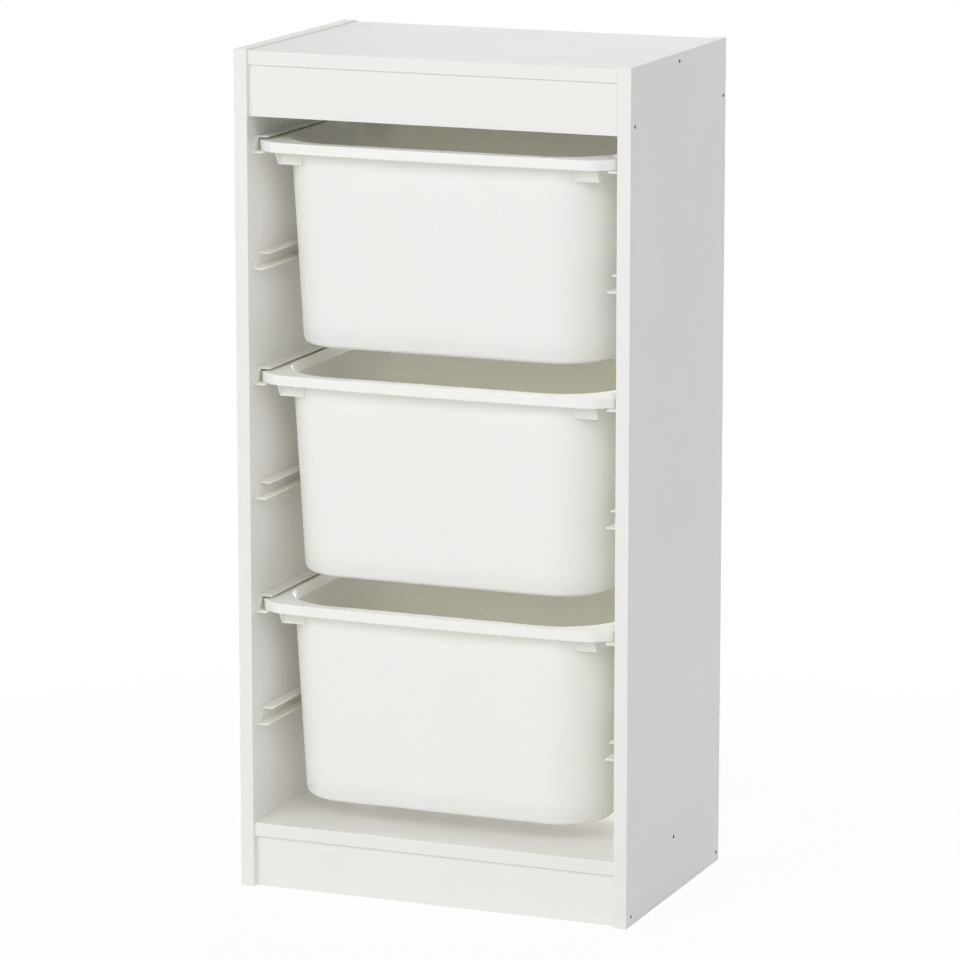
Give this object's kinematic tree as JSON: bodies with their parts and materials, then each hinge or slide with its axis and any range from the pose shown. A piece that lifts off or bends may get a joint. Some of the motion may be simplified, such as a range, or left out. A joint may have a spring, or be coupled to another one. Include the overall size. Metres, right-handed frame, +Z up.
{
  "type": "toy storage frame with pull-out bins",
  "caption": "Upright white storage frame for a child's room, with deep pull-out plastic bins that hang by their rims in side runners.",
  "frame": {"origin": "on the floor, at the middle of the footprint", "axes": "+Z up; +X along the width, to the right when facing the open front; the front looks along -Y"},
  "size_m": [0.46, 0.3, 0.94],
  "materials": {
    "white_board": "satin white foil over particle board",
    "bin_plastic": "moulded white polypropylene, satin",
    "runner_plastic": "moulded off-white plastic, satin",
    "screw_steel": "zinc-plated steel",
    "dowel_wood": "bare beech"
  },
  "bodies": {
    "frame": {"left_side_panel": "white_board", "right_side_panel": "white_board", "top_panel": "white_board", "bottom_panel": "white_board", "front_top_rail": "white_board", "back_top_rail": "white_board", "plinth_rail": "white_board", "back_bottom_rail": "white_board", "left_runner_1": "runner_plastic", "right_runner_1": "runner_plastic", "left_runner_2": "runner_plastic", "right_runner_2": "runner_plastic", "left_runner_3": "runner_plastic", "right_runner_3": "runner_plastic", "left_runner_4": "runner_plastic", "right_runner_4": "runner_plastic", "left_runner_5": "runner_plastic", "right_runner_5": "runner_plastic", "left_runner_6": "runner_plastic", "right_runner_6": "runner_plastic", "left_frame_screws": "screw_steel", "right_frame_screws": "screw_steel", "left_frame_dowels": "dowel_wood", "right_frame_dowels": "dowel_wood"},
    "upper_bin": {"upper_bin": "bin_plastic"},
    "middle_bin": {"middle_bin": "bin_plastic"},
    "lower_bin": {"lower_bin": "bin_plastic"}
  },
  "joints": [
    {"name": "upper_bin_slide", "type": "slide", "parent": "frame", "child": "upper_bin", "axis": [0, -1, 0], "range_m": [0, 0.25]},
    {"name": "middle_bin_slide", "type": "slide", "parent": "frame", "child": "middle_bin", "axis": [0, -1, 0], "range_m": [0, 0.25]},
    {"name": "lower_bin_slide", "type": "slide", "parent": "frame", "child": "lower_bin", "axis": [0, -1, 0], "range_m": [0, 0.25]}
  ]
}
